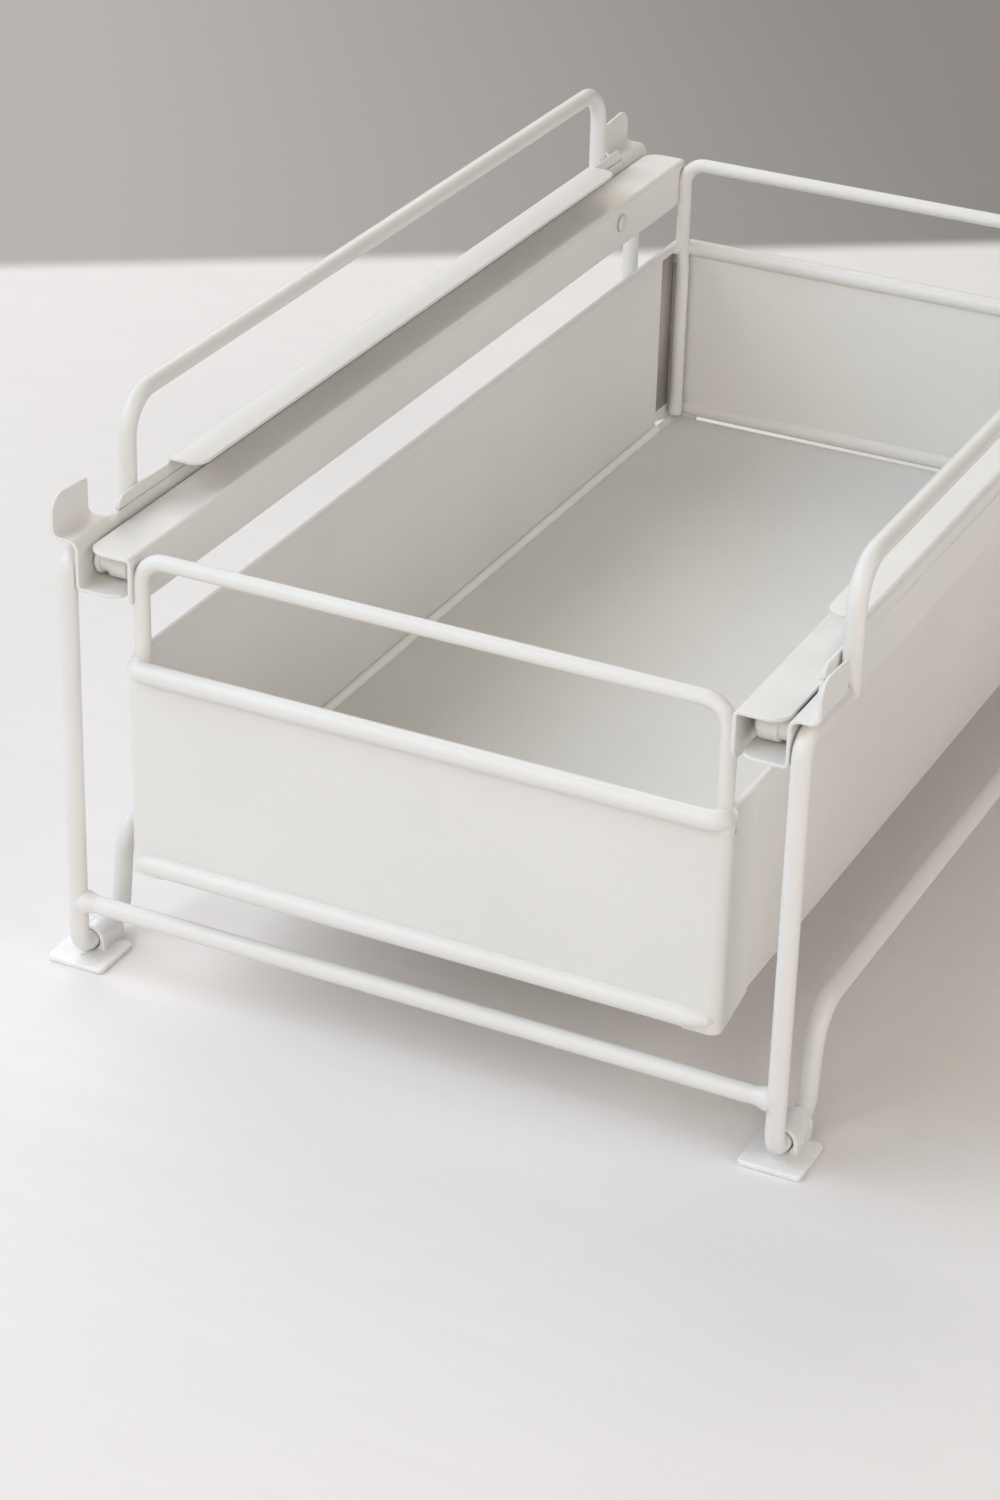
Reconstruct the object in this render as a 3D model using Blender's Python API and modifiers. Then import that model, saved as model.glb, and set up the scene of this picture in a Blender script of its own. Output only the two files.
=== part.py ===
"""A low storage organizer: folded steel rails on bent wire legs carry a drawer that rolls out to the front.

Metres, +Z up, the front faces -Y. The origin is on the ground under the middle of the object.
Sheet pieces are flat patterns, folded along a section, and wires are bent round named radii.
"""
import math

import bmesh
import bpy
from mathutils import Vector

# Overall sizes
RAIL_LENGTH = 0.340
RAIL_SPACING = 0.191
LEDGE_HEIGHT = 0.1093
SHEET = 0.001
WIRE = 0.005
HANDLE_WIRE = 0.0042
EDGE_WIRE = 0.0054
GAP = 0.0003
RUNNING_GAP = 0.0002
OVERRUN = 0.002
TIGHT_FOLD = 0.0012
COLLECTION = "storage_organizer"

# Rails: heights are above the ledge's underside, setbacks from the rail's end
LEDGE_WIDTH = 0.0126
LIP_HEIGHT = 0.0194
LIP_WIDTH = 0.0105
LIP_SETBACK = 0.044
SHELF_HEIGHT = 0.0125
SHELF_JOG = 0.007
EAR_LENGTH = 0.0166
EAR_HEIGHT = 0.0243
EAR_DROP = 0.0013
NOTCH_WIDTH = 0.0022
SHELF_FOLD = 0.0024
LEDGE_CORNER = 0.004
EAR_CORNER = 0.005
FLANGE_CORNER = 0.0035
LIP_CORNER = 0.0045

# Wire sides of the frame
LEG_SETBACK = 0.001
LEG_TOP_DROP = 0.0043
LEG_TOP_GAP = 0.0005
LEG_TOP_BEND = 0.0045
FOOT_BEND = 0.005
RISER_FOOT = 0.0215
RISER_LEAN = 0.0035
LOW_RAIL_HEIGHT = 0.0316
LOW_RAIL_BEND = 0.012
CROSSBAR_HEIGHT = 0.0191
GUARD_RISE = 0.0203
GUARD_SETBACK = 0.030
GUARD_BEND = 0.011
GUARD_LAP = 0.0187

# Feet
FOOT_WIDTH = 0.0165
FOOT_LENGTH = 0.0165
FOOT_PLATE = 0.0016
FOOT_CORNER = 0.0015
FOOT_PLATE_SHIFT = 0.0055
SLEEVE_WALL = 0.0011
SLEEVE_GAP = 0.0004

# Drawer tray, panels and wires: rises are above the tray's underside, drops are below its top
FLOOR_CLEARANCE = 0.0106
RAIL_CLEARANCE = 0.0148
HAND_GAP = 0.0153
TRAY_FOLD = 0.003
FLOOR_SETBACK = 0.0025
FLOOR_TAB_SETBACK = 0.0008
FLOOR_TAB_WIDTH = 0.0048
REAR_SIDE_SETBACK = 0.0175
HEM_SETBACK = 0.0080
HEM_LEAF_SETBACK = 0.0035
HEM_HEIGHT = 0.0067
HEM_GAP = 0.0007
PANEL_SETBACK = 0.0006
PANEL_FOLD = 0.0025
RETURN_LENGTH = 0.0185
RETURN_FOOT_RISE = 0.0035
RIM_DROP = 0.0029
RIM_INSET = 0.0012
EDGE_WIRE_PROUD = 0.0008
HOOP_BEND = 0.0067
HOOP_CLEARANCE = 0.0009
HOOP_FOOT_RISE = 0.0028

# Hangers that carry the drawer: top and drop are above and below the underside of the ledge
HANGER_SETBACK = 0.0015
HANGER_TOP = 0.0112
HANGER_DROP = 0.0025
HANGER_EDGE_GAP = 0.0012
HANGER_CORNER = 0.005
HANGER_FOOT_CORNER = 0.004
HANGER_FOLD = 0.001

# Rollers on riveted pins
ROLLER_SLACK = 0.0005
FRONT_ROLLER_WIDTH = 0.0095
REAR_ROLLER_WIDTH = 0.008
ROLLER_CHAMFER = 0.0006
PIN_DIAMETER = 0.003
PIN_HEAD_DIAMETER = 0.0055
PIN_HEAD_THICKNESS = 0.0008
FRONT_ROLLER_SETBACK = 0.0102
REAR_ROLLER_SETBACK = 0.050

# Facets and shares
HEM_FOLD_SHARE = 0.49
WIRE_RESOLUTION = 3
BEND_STEPS = 6
FOLD_STEPS = 3
ROUND_STEPS = 24

# Colours and finishes
POWDER_COAT = (0.80, 0.79, 0.77, 1.0)
CLEAR_PLASTIC = (0.86, 0.86, 0.85, 1.0)
NYLON = (0.82, 0.81, 0.78, 1.0)
STEEL = (0.62, 0.61, 0.59, 1.0)

# Places worked out from the sizes above
HALF_LENGTH = RAIL_LENGTH / 2
HALF_SHEET = SHEET / 2
WEB_OUTSIDE = RAIL_SPACING / 2
WEB_INSIDE = WEB_OUTSIDE - SHEET
WIRE_SIDE = WEB_OUTSIDE + GAP + WIRE / 2
LEDGE_TOP = LEDGE_HEIGHT + SHEET
LEG_TOP = LEDGE_HEIGHT + SHELF_HEIGHT - LEG_TOP_DROP
LEG_TOP_END = GUARD_SETBACK - WIRE / 2 - LEG_TOP_GAP
GUARD_HEIGHT = LEDGE_HEIGHT + LIP_HEIGHT + GUARD_RISE
GUARD_FOOT = LEDGE_HEIGHT + LIP_HEIGHT - GUARD_LAP
FOOT_RUN_HEIGHT = FOOT_PLATE + GAP + WIRE / 2
SLEEVE_LENGTH = RISER_FOOT - LEG_SETBACK - 2 * FOOT_BEND
SLEEVE_SETBACK = (LEG_SETBACK + RISER_FOOT) / 2
TRAY_OUTSIDE = WEB_OUTSIDE - RAIL_CLEARANCE
TRAY_TOP = LEDGE_HEIGHT - HAND_GAP
FLOOR_HEIGHT = CROSSBAR_HEIGHT + WIRE / 2 + FLOOR_CLEARANCE
FLOOR_TOP = FLOOR_HEIGHT + SHEET
RIM_HEIGHT = TRAY_TOP - RIM_DROP
BOTTOM_WIRE_HEIGHT = FLOOR_TOP + GAP + EDGE_WIRE / 2
PANEL_TOP = RIM_HEIGHT - EDGE_WIRE / 2 - GAP
PANEL_FOOT = BOTTOM_WIRE_HEIGHT + EDGE_WIRE / 2 + GAP
HOOP_HEIGHT = LEDGE_HEIGHT + HANGER_TOP
RETURN_OUTSIDE = TRAY_OUTSIDE + GAP + SHEET
EDGE_WIRE_SETBACK = PANEL_SETBACK + HALF_SHEET - EDGE_WIRE_PROUD
BOTTOM_WIRE_REACH = RETURN_OUTSIDE - HALF_SHEET - PANEL_FOLD - GAP
HOOP_SETBACK = EDGE_WIRE_SETBACK + EDGE_WIRE / 2 + GAP + HANDLE_WIRE / 2
HOOP_SIDE = RETURN_OUTSIDE - SHEET - HOOP_CLEARANCE - HANDLE_WIRE / 2
HANGER_INSIDE = HOOP_SIDE + HANDLE_WIRE / 2 + GAP
HANGER_OUTSIDE = HANGER_INSIDE + SHEET
HANGER_UNDERSIDE = LEDGE_HEIGHT + HANGER_TOP - SHEET
ROLLER_RADIUS = (HANGER_UNDERSIDE - LEDGE_TOP - GAP - ROLLER_SLACK) / 2
FRONT_ROLLER_HEIGHT = HANGER_UNDERSIDE - GAP - ROLLER_RADIUS
REAR_ROLLER_HEIGHT = LEDGE_TOP + GAP + ROLLER_RADIUS


def clear_scene():
    """Empty the scene, so that the part is built alone."""
    for old in list(bpy.data.objects):
        bpy.data.objects.remove(old, do_unlink=True)


def new_collection(name):
    """Make a collection and link it to the scene."""
    made = bpy.data.collections.new(name)
    bpy.context.scene.collection.children.link(made)
    return made


def finish(name, colour, roughness, metallic=0.0):
    """Make a Principled material."""
    made = bpy.data.materials.new(name)
    made.use_nodes = True
    shader = made.node_tree.nodes["Principled BSDF"]
    shader.inputs["Base Color"].default_value = colour
    shader.inputs["Roughness"].default_value = roughness
    shader.inputs["Metallic"].default_value = metallic
    made.diffuse_color = colour
    return made


def along(setback, end):
    """Y of a place that lies a setback in from the front end (end = -1) or the rear end (end = 1)."""
    return end * (HALF_LENGTH - setback)


def rounded(corners, radii, closed=False, steps=BEND_STEPS):
    """Replace each corner of a path with an arc of its radius; a zero radius keeps the corner."""
    points = [Vector(corner) for corner in corners]
    count = len(points)
    path = []
    for index, corner in enumerate(points):
        radius = radii[index]
        if radius == 0 or (not closed and index in (0, count - 1)):
            path.append(corner)
            continue
        back = (points[index - 1] - corner).normalized()
        ahead = (points[(index + 1) % count] - corner).normalized()
        opening = back.angle(ahead)
        centre = corner + (back + ahead).normalized() * radius / math.sin(opening / 2)
        start = corner + back * radius / math.tan(opening / 2) - centre
        stop = corner + ahead * radius / math.tan(opening / 2) - centre
        sweep = math.pi - opening
        for step in range(steps + 1):
            share = step / steps
            blend = start * math.sin((1 - share) * sweep) + stop * math.sin(share * sweep)
            path.append(centre + blend / math.sin(sweep))
    return path


def reaches(path):
    """Distance of each point of a path from its first point, measured along it."""
    total = 0.0
    found = [total]
    for before, after in zip(path, path[1:]):
        total += (after - before).length
        found.append(total)
    return found


def point_at(path, reach):
    """Point of a path at a distance along it."""
    total = 0.0
    for before, after in zip(path, path[1:]):
        step = (after - before).length
        if reach <= total + step or after is path[-1]:
            return before + (after - before) * ((reach - total) / step)
        total += step
    return path[-1]


def link_piece(name, data, material, pieces, place=(0, 0, 0), turn=(0, 0, 0)):
    """Put mesh or curve data into the part's collection as a named piece."""
    piece = bpy.data.objects.new(name, data)
    piece.location = place
    piece.rotation_euler = turn
    if material is not None:
        data.materials.append(material)
    pieces.objects.link(piece)
    return piece


def wire(name, corners, radii, diameter, material, pieces):
    """A wire bent round the corners of a route, with flat sawn ends."""
    curve = bpy.data.curves.new(name, "CURVE")
    curve.dimensions = "3D"
    curve.bevel_depth = diameter / 2
    curve.bevel_resolution = WIRE_RESOLUTION
    curve.use_fill_caps = True
    path = rounded(corners, radii)
    spline = curve.splines.new("POLY")
    spline.points.add(len(path) - 1)
    for point, place in zip(spline.points, path):
        point.co = (*place, 1.0)
    return link_piece(name, curve, material, pieces)


def folded_sheet(name, outline, fold, fold_reaches, material, pieces):
    """A flat pattern of (run, reach) points, creased at each fold reach, folded and given its gauge."""
    pattern = bmesh.new()
    pattern.faces.new([pattern.verts.new((run, reach, 0)) for run, reach in outline])
    for reach in fold_reaches:
        everything = pattern.verts[:] + pattern.edges[:] + pattern.faces[:]
        bmesh.ops.bisect_plane(pattern, geom=everything, dist=SHEET / 1000, plane_co=(0, reach, 0),
                               plane_no=(0, 1, 0))
    for vertex in pattern.verts:
        vertex.co = fold(vertex.co.x, vertex.co.y)
    mesh = bpy.data.meshes.new(name)
    pattern.to_mesh(mesh)
    pattern.free()
    piece = link_piece(name, mesh, material, pieces)
    gauge = piece.modifiers.new("gauge", "SOLIDIFY")
    gauge.thickness = SHEET
    gauge.offset = 0.0
    gauge.use_even_offset = True
    gauge.use_quality_normals = True
    return piece


def drill(piece, centre, diameter, depth, cutters):
    """Cut a round hole along X through a piece."""
    bpy.ops.mesh.primitive_cylinder_add(vertices=ROUND_STEPS, radius=diameter / 2, depth=depth,
                                        location=centre, rotation=(0, math.radians(90), 0))
    cutter = bpy.context.object
    cutter.name = piece.name + "_hole"
    hide_cutter(cutter, cutters)
    cut = piece.modifiers.new("hole", "BOOLEAN")
    cut.operation = "DIFFERENCE"
    cut.object = cutter


def hide_cutter(cutter, cutters):
    """Move a cutter to its own collection and keep it out of renders."""
    for home in list(cutter.users_collection):
        home.objects.unlink(cutter)
    cutters.objects.link(cutter)
    cutter.hide_render = True
    cutter.display_type = "WIRE"


def turned(name, profile, closed, place, side, material, pieces):
    """A profile of (radius, height) points turned about an X axis that points outwards on its side."""
    mesh = bpy.data.meshes.new(name)
    count = len(profile)
    edges = [(index, index + 1) for index in range(count - 1)]
    if closed:
        edges.append((count - 1, 0))
    mesh.from_pydata([(radius, 0, height) for radius, height in profile], edges, [])
    piece = link_piece(name, mesh, material, pieces, place, (0, math.radians(side * 90), 0))
    screw = piece.modifiers.new("turn", "SCREW")
    screw.axis = "Z"
    screw.angle = math.radians(360)
    screw.steps = ROUND_STEPS
    screw.render_steps = ROUND_STEPS
    screw.use_merge_vertices = True
    screw.merge_threshold = RUNNING_GAP / 20
    return piece


def rail(name, side, material, pieces, cutters):
    """A runner rail: ledge, web and lip, with a shelf and an ear jogged outwards at each end."""
    inner = WEB_OUTSIDE - LEDGE_WIDTH
    web = WEB_OUTSIDE - HALF_SHEET
    ledge = LEDGE_HEIGHT + HALF_SHEET
    lip = LEDGE_HEIGHT + LIP_HEIGHT - HALF_SHEET
    shelf = LEDGE_HEIGHT + SHELF_HEIGHT + HALF_SHEET
    ear = web + SHELF_JOG
    ear_top = LEDGE_HEIGHT + EAR_HEIGHT
    middle = rounded([(inner, ledge), (web, ledge), (web, lip), (WEB_OUTSIDE - LIP_WIDTH, lip)],
                     [0, TIGHT_FOLD, TIGHT_FOLD, 0], steps=FOLD_STEPS)
    jogged = rounded([(inner, ledge), (web, ledge), (web, shelf), (ear, shelf), (ear, ear_top)],
                     [0, TIGHT_FOLD, SHELF_FOLD, SHELF_FOLD, 0], steps=FOLD_STEPS)
    middle_reaches = reaches(middle)
    jogged_reaches = reaches(jogged)
    web_start = middle_reaches[FOLD_STEPS + 1]
    web_foot = middle[FOLD_STEPS + 1].y
    notch = jogged_reaches[FOLD_STEPS + 2] - GAP
    flange = web_start + lip - TIGHT_FOLD - web_foot
    lip_edge = middle_reaches[-1]
    ear_edge = jogged_reaches[-1]
    end = HALF_LENGTH
    ear_end = end - EAR_LENGTH
    flange_end = ear_end - NOTCH_WIDTH
    lip_end = end - LIP_SETBACK
    notch_round = NOTCH_WIDTH / 2 - GAP
    rear_half = [(end, 0), (end, ear_edge), (ear_end, ear_edge - EAR_DROP), (ear_end, notch),
                 (flange_end, notch), (flange_end, flange), (lip_end, flange), (lip_end, lip_edge)]
    rear_radii = [LEDGE_CORNER, EAR_CORNER, 0, notch_round, notch_round, FLANGE_CORNER, 0, LIP_CORNER]
    front_half = [(-run, reach) for run, reach in reversed(rear_half)]
    outline = rounded(rear_half + front_half, rear_radii + rear_radii[::-1], closed=True, steps=FOLD_STEPS)
    divide = (ear_end + flange_end) / 2

    def fold(run, reach):
        section = jogged if abs(run) > divide else middle
        spot = point_at(section, reach)
        return Vector((side * spot.x, run, spot.y))

    piece = folded_sheet(name, outline, fold, middle_reaches[1:-1] + jogged_reaches[1:-1], material, pieces)
    drill(piece, (side * web, along(FRONT_ROLLER_SETBACK, -1), FRONT_ROLLER_HEIGHT), PIN_DIAMETER + 2 * GAP,
          SHEET + 2 * OVERRUN, cutters)
    return piece


def side_wire(name, side, material, pieces):
    """One wire bent into both legs, their foot runs and the low rail of a side."""
    x = side * WIRE_SIDE
    rear = [(x, along(LEG_TOP_END, 1), LEG_TOP),
            (x, along(LEG_SETBACK, 1), LEG_TOP),
            (x, along(LEG_SETBACK, 1), FOOT_RUN_HEIGHT),
            (x, along(RISER_FOOT, 1), FOOT_RUN_HEIGHT),
            (x, along(RISER_FOOT + RISER_LEAN, 1), LOW_RAIL_HEIGHT)]
    radii = [0, LEG_TOP_BEND, FOOT_BEND, FOOT_BEND, LOW_RAIL_BEND]
    front = [(place[0], -place[1], place[2]) for place in reversed(rear)]
    return wire(name, rear + front, radii + radii[::-1], WIRE, material, pieces)


def guard_wire(name, side, material, pieces):
    """The guard over a rail, welded by its two legs to the outside of the web."""
    x = side * WIRE_SIDE
    front = along(GUARD_SETBACK, -1)
    rear = along(GUARD_SETBACK, 1)
    corners = [(x, front, GUARD_FOOT), (x, front, GUARD_HEIGHT), (x, rear, GUARD_HEIGHT),
               (x, rear, GUARD_FOOT)]
    return wire(name, corners, [0, GUARD_BEND, GUARD_BEND, 0], WIRE, material, pieces)


def crossbar(name, end, material, pieces):
    """A straight wire butted between the two legs of one end."""
    reach = WIRE_SIDE - WIRE / 2 - GAP
    y = along(LEG_SETBACK, end)
    corners = [(-reach, y, CROSSBAR_HEIGHT), (reach, y, CROSSBAR_HEIGHT)]
    return wire(name, corners, [0, 0], WIRE, material, pieces)


def unite(piece, other, operation, cutters):
    """Join a shape to a piece, or cut it away."""
    hide_cutter(other, cutters)
    join = piece.modifiers.new(operation.lower(), "BOOLEAN")
    join.operation = operation
    join.object = other


def foot(name, side, end, material, pieces, cutters):
    """A plastic foot: a square plate with a sleeve that holds the foot run of the wire."""
    x = side * WIRE_SIDE
    y = along(SLEEVE_SETBACK, end)
    plate_y = along(SLEEVE_SETBACK - FOOT_PLATE_SHIFT, end)
    bpy.ops.mesh.primitive_cube_add(size=1, location=(x, plate_y, FOOT_PLATE / 2))
    plate = bpy.context.object
    plate.scale = (FOOT_WIDTH, FOOT_LENGTH, FOOT_PLATE)
    bpy.ops.object.transform_apply(location=False, rotation=False, scale=True)
    plate.name = name
    plate.data.materials.append(material)
    for home in list(plate.users_collection):
        home.objects.unlink(plate)
    pieces.objects.link(plate)
    corners = plate.modifiers.new("corners", "BEVEL")
    corners.width = FOOT_CORNER
    corners.segments = FOLD_STEPS
    corners.limit_method = "WEIGHT"
    weights = plate.data.attributes.new("bevel_weight_edge", "FLOAT", "EDGE")
    for edge in plate.data.edges:
        low, high = (plate.data.vertices[index].co for index in edge.vertices)
        weights.data[edge.index].value = 1.0 if abs(low.z - high.z) > SHEET else 0.0
    bore = WIRE / 2 + SLEEVE_GAP
    sleeve_radius = bore + SLEEVE_WALL
    crown = [(sleeve_radius * math.cos(turn), FOOT_RUN_HEIGHT + sleeve_radius * math.sin(turn))
             for turn in (math.pi * step / (2 * BEND_STEPS) for step in range(2 * BEND_STEPS + 1))]
    sleeve_outline = [(sleeve_radius, FOOT_PLATE / 2)] + crown + [(-sleeve_radius, FOOT_PLATE / 2)]
    sleeve = flat_outline(name + "_sleeve", sleeve_outline, SLEEVE_LENGTH, (x, y, 0), pieces)
    unite(plate, sleeve, "UNION", cutters)
    bpy.ops.mesh.primitive_cylinder_add(vertices=ROUND_STEPS, radius=bore, depth=SLEEVE_LENGTH + OVERRUN,
                                        location=(x, y, FOOT_RUN_HEIGHT), rotation=(math.radians(90), 0, 0))
    unite(plate, bpy.context.object, "DIFFERENCE", cutters)
    return plate


def flat_outline(name, outline, thickness, place, pieces):
    """A closed (x, z) outline extruded along Y, as a mesh with welded caps."""
    curve = bpy.data.curves.new(name, "CURVE")
    curve.dimensions = "2D"
    curve.fill_mode = "BOTH"
    curve.extrude = thickness / 2
    spline = curve.splines.new("POLY")
    spline.points.add(len(outline) - 1)
    for point, (across, up) in zip(spline.points, outline):
        point.co = (across, up, 0, 1)
    spline.use_cyclic_u = True
    flat = link_piece(name + "_outline", curve, None, pieces, place, (math.radians(90), 0, 0))
    bpy.context.view_layer.update()
    mesh = bpy.data.meshes.new_from_object(flat.evaluated_get(bpy.context.evaluated_depsgraph_get()))
    welded = bmesh.new()
    welded.from_mesh(mesh)
    bmesh.ops.remove_doubles(welded, verts=welded.verts, dist=RUNNING_GAP / 20)
    bmesh.ops.recalc_face_normals(welded, faces=welded.faces)
    welded.to_mesh(mesh)
    welded.free()
    solid = link_piece(name, mesh, None, pieces)
    solid.matrix_world = flat.matrix_world
    bpy.data.objects.remove(flat, do_unlink=True)
    return solid


def roller(name, side, inner, width, y, height, material, pieces):
    """A roller with a bore for its pin, its axis along X; inner is the |x| of its inboard face."""
    bore = PIN_DIAMETER / 2 + RUNNING_GAP
    half = width / 2
    profile = [(ROLLER_RADIUS - ROLLER_CHAMFER, half), (ROLLER_RADIUS, half - ROLLER_CHAMFER),
               (ROLLER_RADIUS, ROLLER_CHAMFER - half), (ROLLER_RADIUS - ROLLER_CHAMFER, -half),
               (bore, -half), (bore, half)]
    return turned(name, profile, True, (side * (inner + half), y, height), side, material, pieces)


def pin(name, side, inner, outer, two_heads, y, height, material, pieces):
    """A pin between two |x|, headed inside; its outer end is staked flush or has a head too."""
    half = (outer - inner) / 2
    shaft = PIN_DIAMETER / 2
    head = PIN_HEAD_DIAMETER / 2
    tip = half + PIN_HEAD_THICKNESS
    inner_end = [(shaft, -half), (head, -half), (head, ROLLER_CHAMFER - tip), (head - ROLLER_CHAMFER, -tip),
                 (0, -tip)]
    outer_end = [(0, half), (shaft, half)]
    if two_heads:
        outer_end = [(radius, -reach) for radius, reach in reversed(inner_end)]
    profile = outer_end + inner_end
    centre = (inner + outer) / 2
    return turned(name, profile, False, (side * centre, y, height), side, material, pieces)


def drawer_tray(material, pieces):
    """Floor and both sides in one sheet, with an outward hem along each top edge."""
    side = TRAY_OUTSIDE - HALF_SHEET
    hem = side + SHEET + HEM_GAP
    crown = TRAY_TOP - HALF_SHEET
    floor = FLOOR_HEIGHT + HALF_SHEET
    hem_fold = (hem - side) * HEM_FOLD_SHARE
    hem_foot = TRAY_TOP - HEM_HEIGHT
    corners = [(-hem, hem_foot), (-hem, crown), (-side, crown), (-side, floor), (side, floor), (side, crown),
               (hem, crown), (hem, hem_foot)]
    section = rounded(corners, [0, hem_fold, hem_fold, TRAY_FOLD, TRAY_FOLD, hem_fold, hem_fold, 0],
                      steps=FOLD_STEPS)
    marks = reaches(section)
    total = marks[-1]
    leaf_reach = marks[FOLD_STEPS + 1]
    crown_reach = marks[FOLD_STEPS + 2]
    wall_reach = crown_reach + SHEET
    floor_reach = marks[2 * FOLD_STEPS + 4]
    tab_start = marks[3 * FOLD_STEPS + 3]
    tab_stop = tab_start + FLOOR_TAB_WIDTH
    leaf_end = HALF_LENGTH - HEM_LEAF_SETBACK
    hem_end = HALF_LENGTH - HEM_SETBACK
    floor_end = HALF_LENGTH - FLOOR_SETBACK
    tab_end = HALF_LENGTH - FLOOR_TAB_SETBACK
    strip = [(leaf_end, 0), (leaf_end, leaf_reach), (hem_end, leaf_reach)]
    slot = [(hem_end, wall_reach), (HALF_LENGTH - REAR_SIDE_SETBACK, wall_reach),
            (HALF_LENGTH - REAR_SIDE_SETBACK, floor_reach)]
    corner = [(floor_end, floor_reach), (floor_end, tab_start), (tab_end, tab_start), (tab_end, tab_stop),
              (floor_end, tab_stop)]
    rear_half = strip + slot + corner
    front_half = strip + [(hem_end, floor_reach)] + corner
    rear = rear_half + [(run, total - reach) for run, reach in reversed(rear_half)]
    front = [(-run, total - reach) for run, reach in front_half]
    front += [(-run, reach) for run, reach in reversed(front_half)]
    outline = [Vector(point) for point in rear + front]

    def fold(run, reach):
        spot = point_at(section, reach)
        return Vector((spot.x, run, spot.y))

    return folded_sheet("drawer_tray", outline, fold, marks[1:-1], material, pieces)


def panel(name, end, material, pieces):
    """A front or back panel between its two edge wires, with returns that lap round the tray's corners."""
    face = PANEL_SETBACK + HALF_SHEET
    edge = RETURN_OUTSIDE - HALF_SHEET
    section = rounded([(-edge, RETURN_LENGTH), (-edge, face), (edge, face), (edge, RETURN_LENGTH)],
                      [0, PANEL_FOLD, PANEL_FOLD, 0], steps=FOLD_STEPS + 1)
    marks = reaches(section)
    total = marks[-1]
    fold_start = marks[1]
    face_start = marks[FOLD_STEPS + 2]
    return_top = TRAY_TOP - HEM_HEIGHT - 2 * GAP
    half = [(PANEL_TOP, face_start), (return_top, face_start), (return_top, 0),
            (FLOOR_HEIGHT + RETURN_FOOT_RISE, 0), (FLOOR_HEIGHT, fold_start), (FLOOR_HEIGHT, face_start),
            (PANEL_FOOT, face_start)]
    half_radii = [0, 0, FOOT_CORNER, FOOT_CORNER, 0, 0, 0]
    other_half = [(height, total - reach) for height, reach in reversed(half)]
    pattern = rounded(half + other_half, half_radii + half_radii[::-1], closed=True, steps=FOLD_STEPS)

    def fold(height, reach):
        spot = point_at(section, reach)
        return Vector((spot.x, along(spot.y, end), height))

    return folded_sheet(name, pattern, fold, marks[1:-1], material, pieces)


def edge_wire(name, end, half_span, height, material, pieces):
    """A straight wire along the upper or lower edge of a panel."""
    y = along(EDGE_WIRE_SETBACK, end)
    return wire(name, [(-half_span, y, height), (half_span, y, height)], [0, 0], EDGE_WIRE, material, pieces)


def hoop(name, end, material, pieces):
    """A handle hoop that stands in the tray's corners and carries the hangers."""
    y = along(HOOP_SETBACK, end)
    foot_height = FLOOR_HEIGHT + HOOP_FOOT_RISE
    corners = [(-HOOP_SIDE, y, foot_height), (-HOOP_SIDE, y, HOOP_HEIGHT), (HOOP_SIDE, y, HOOP_HEIGHT),
               (HOOP_SIDE, y, foot_height)]
    return wire(name, corners, [0, HOOP_BEND, HOOP_BEND, 0], HANDLE_WIRE, material, pieces)


def hanger(name, side, material, pieces, cutters):
    """An inverted L whose flange runs over the rollers inside the rail."""
    web = HANGER_INSIDE + HALF_SHEET
    top = LEDGE_HEIGHT + HANGER_TOP - HALF_SHEET
    flange_edge = WEB_INSIDE - HANGER_EDGE_GAP
    foot_edge = LEDGE_HEIGHT - HANGER_DROP
    section = rounded([(web, foot_edge), (web, top), (flange_edge, top)], [0, HANGER_FOLD, 0],
                      steps=FOLD_STEPS)
    marks = reaches(section)
    total = marks[-1]
    end = HALF_LENGTH - HANGER_SETBACK
    outline = rounded([(end, 0), (end, total), (-end, total), (-end, 0)],
                      [HANGER_FOOT_CORNER, HANGER_CORNER, HANGER_CORNER, HANGER_FOOT_CORNER], closed=True,
                      steps=BEND_STEPS)

    def fold(run, reach):
        spot = point_at(section, reach)
        return Vector((side * spot.x, run, spot.y))

    piece = folded_sheet(name, outline, fold, marks[1:-1], material, pieces)
    drill(piece, (side * web, along(REAR_ROLLER_SETBACK, 1), REAR_ROLLER_HEIGHT), PIN_DIAMETER + 2 * GAP,
          SHEET + 2 * OVERRUN, cutters)
    return piece


def shade_round(pieces):
    """Shade curved faces smooth and keep folds crisp."""
    for piece in pieces.objects:
        if piece.type == "MESH":
            piece.data.shade_smooth()
            piece.data.set_sharp_from_angle(angle=math.radians(40))


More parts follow.
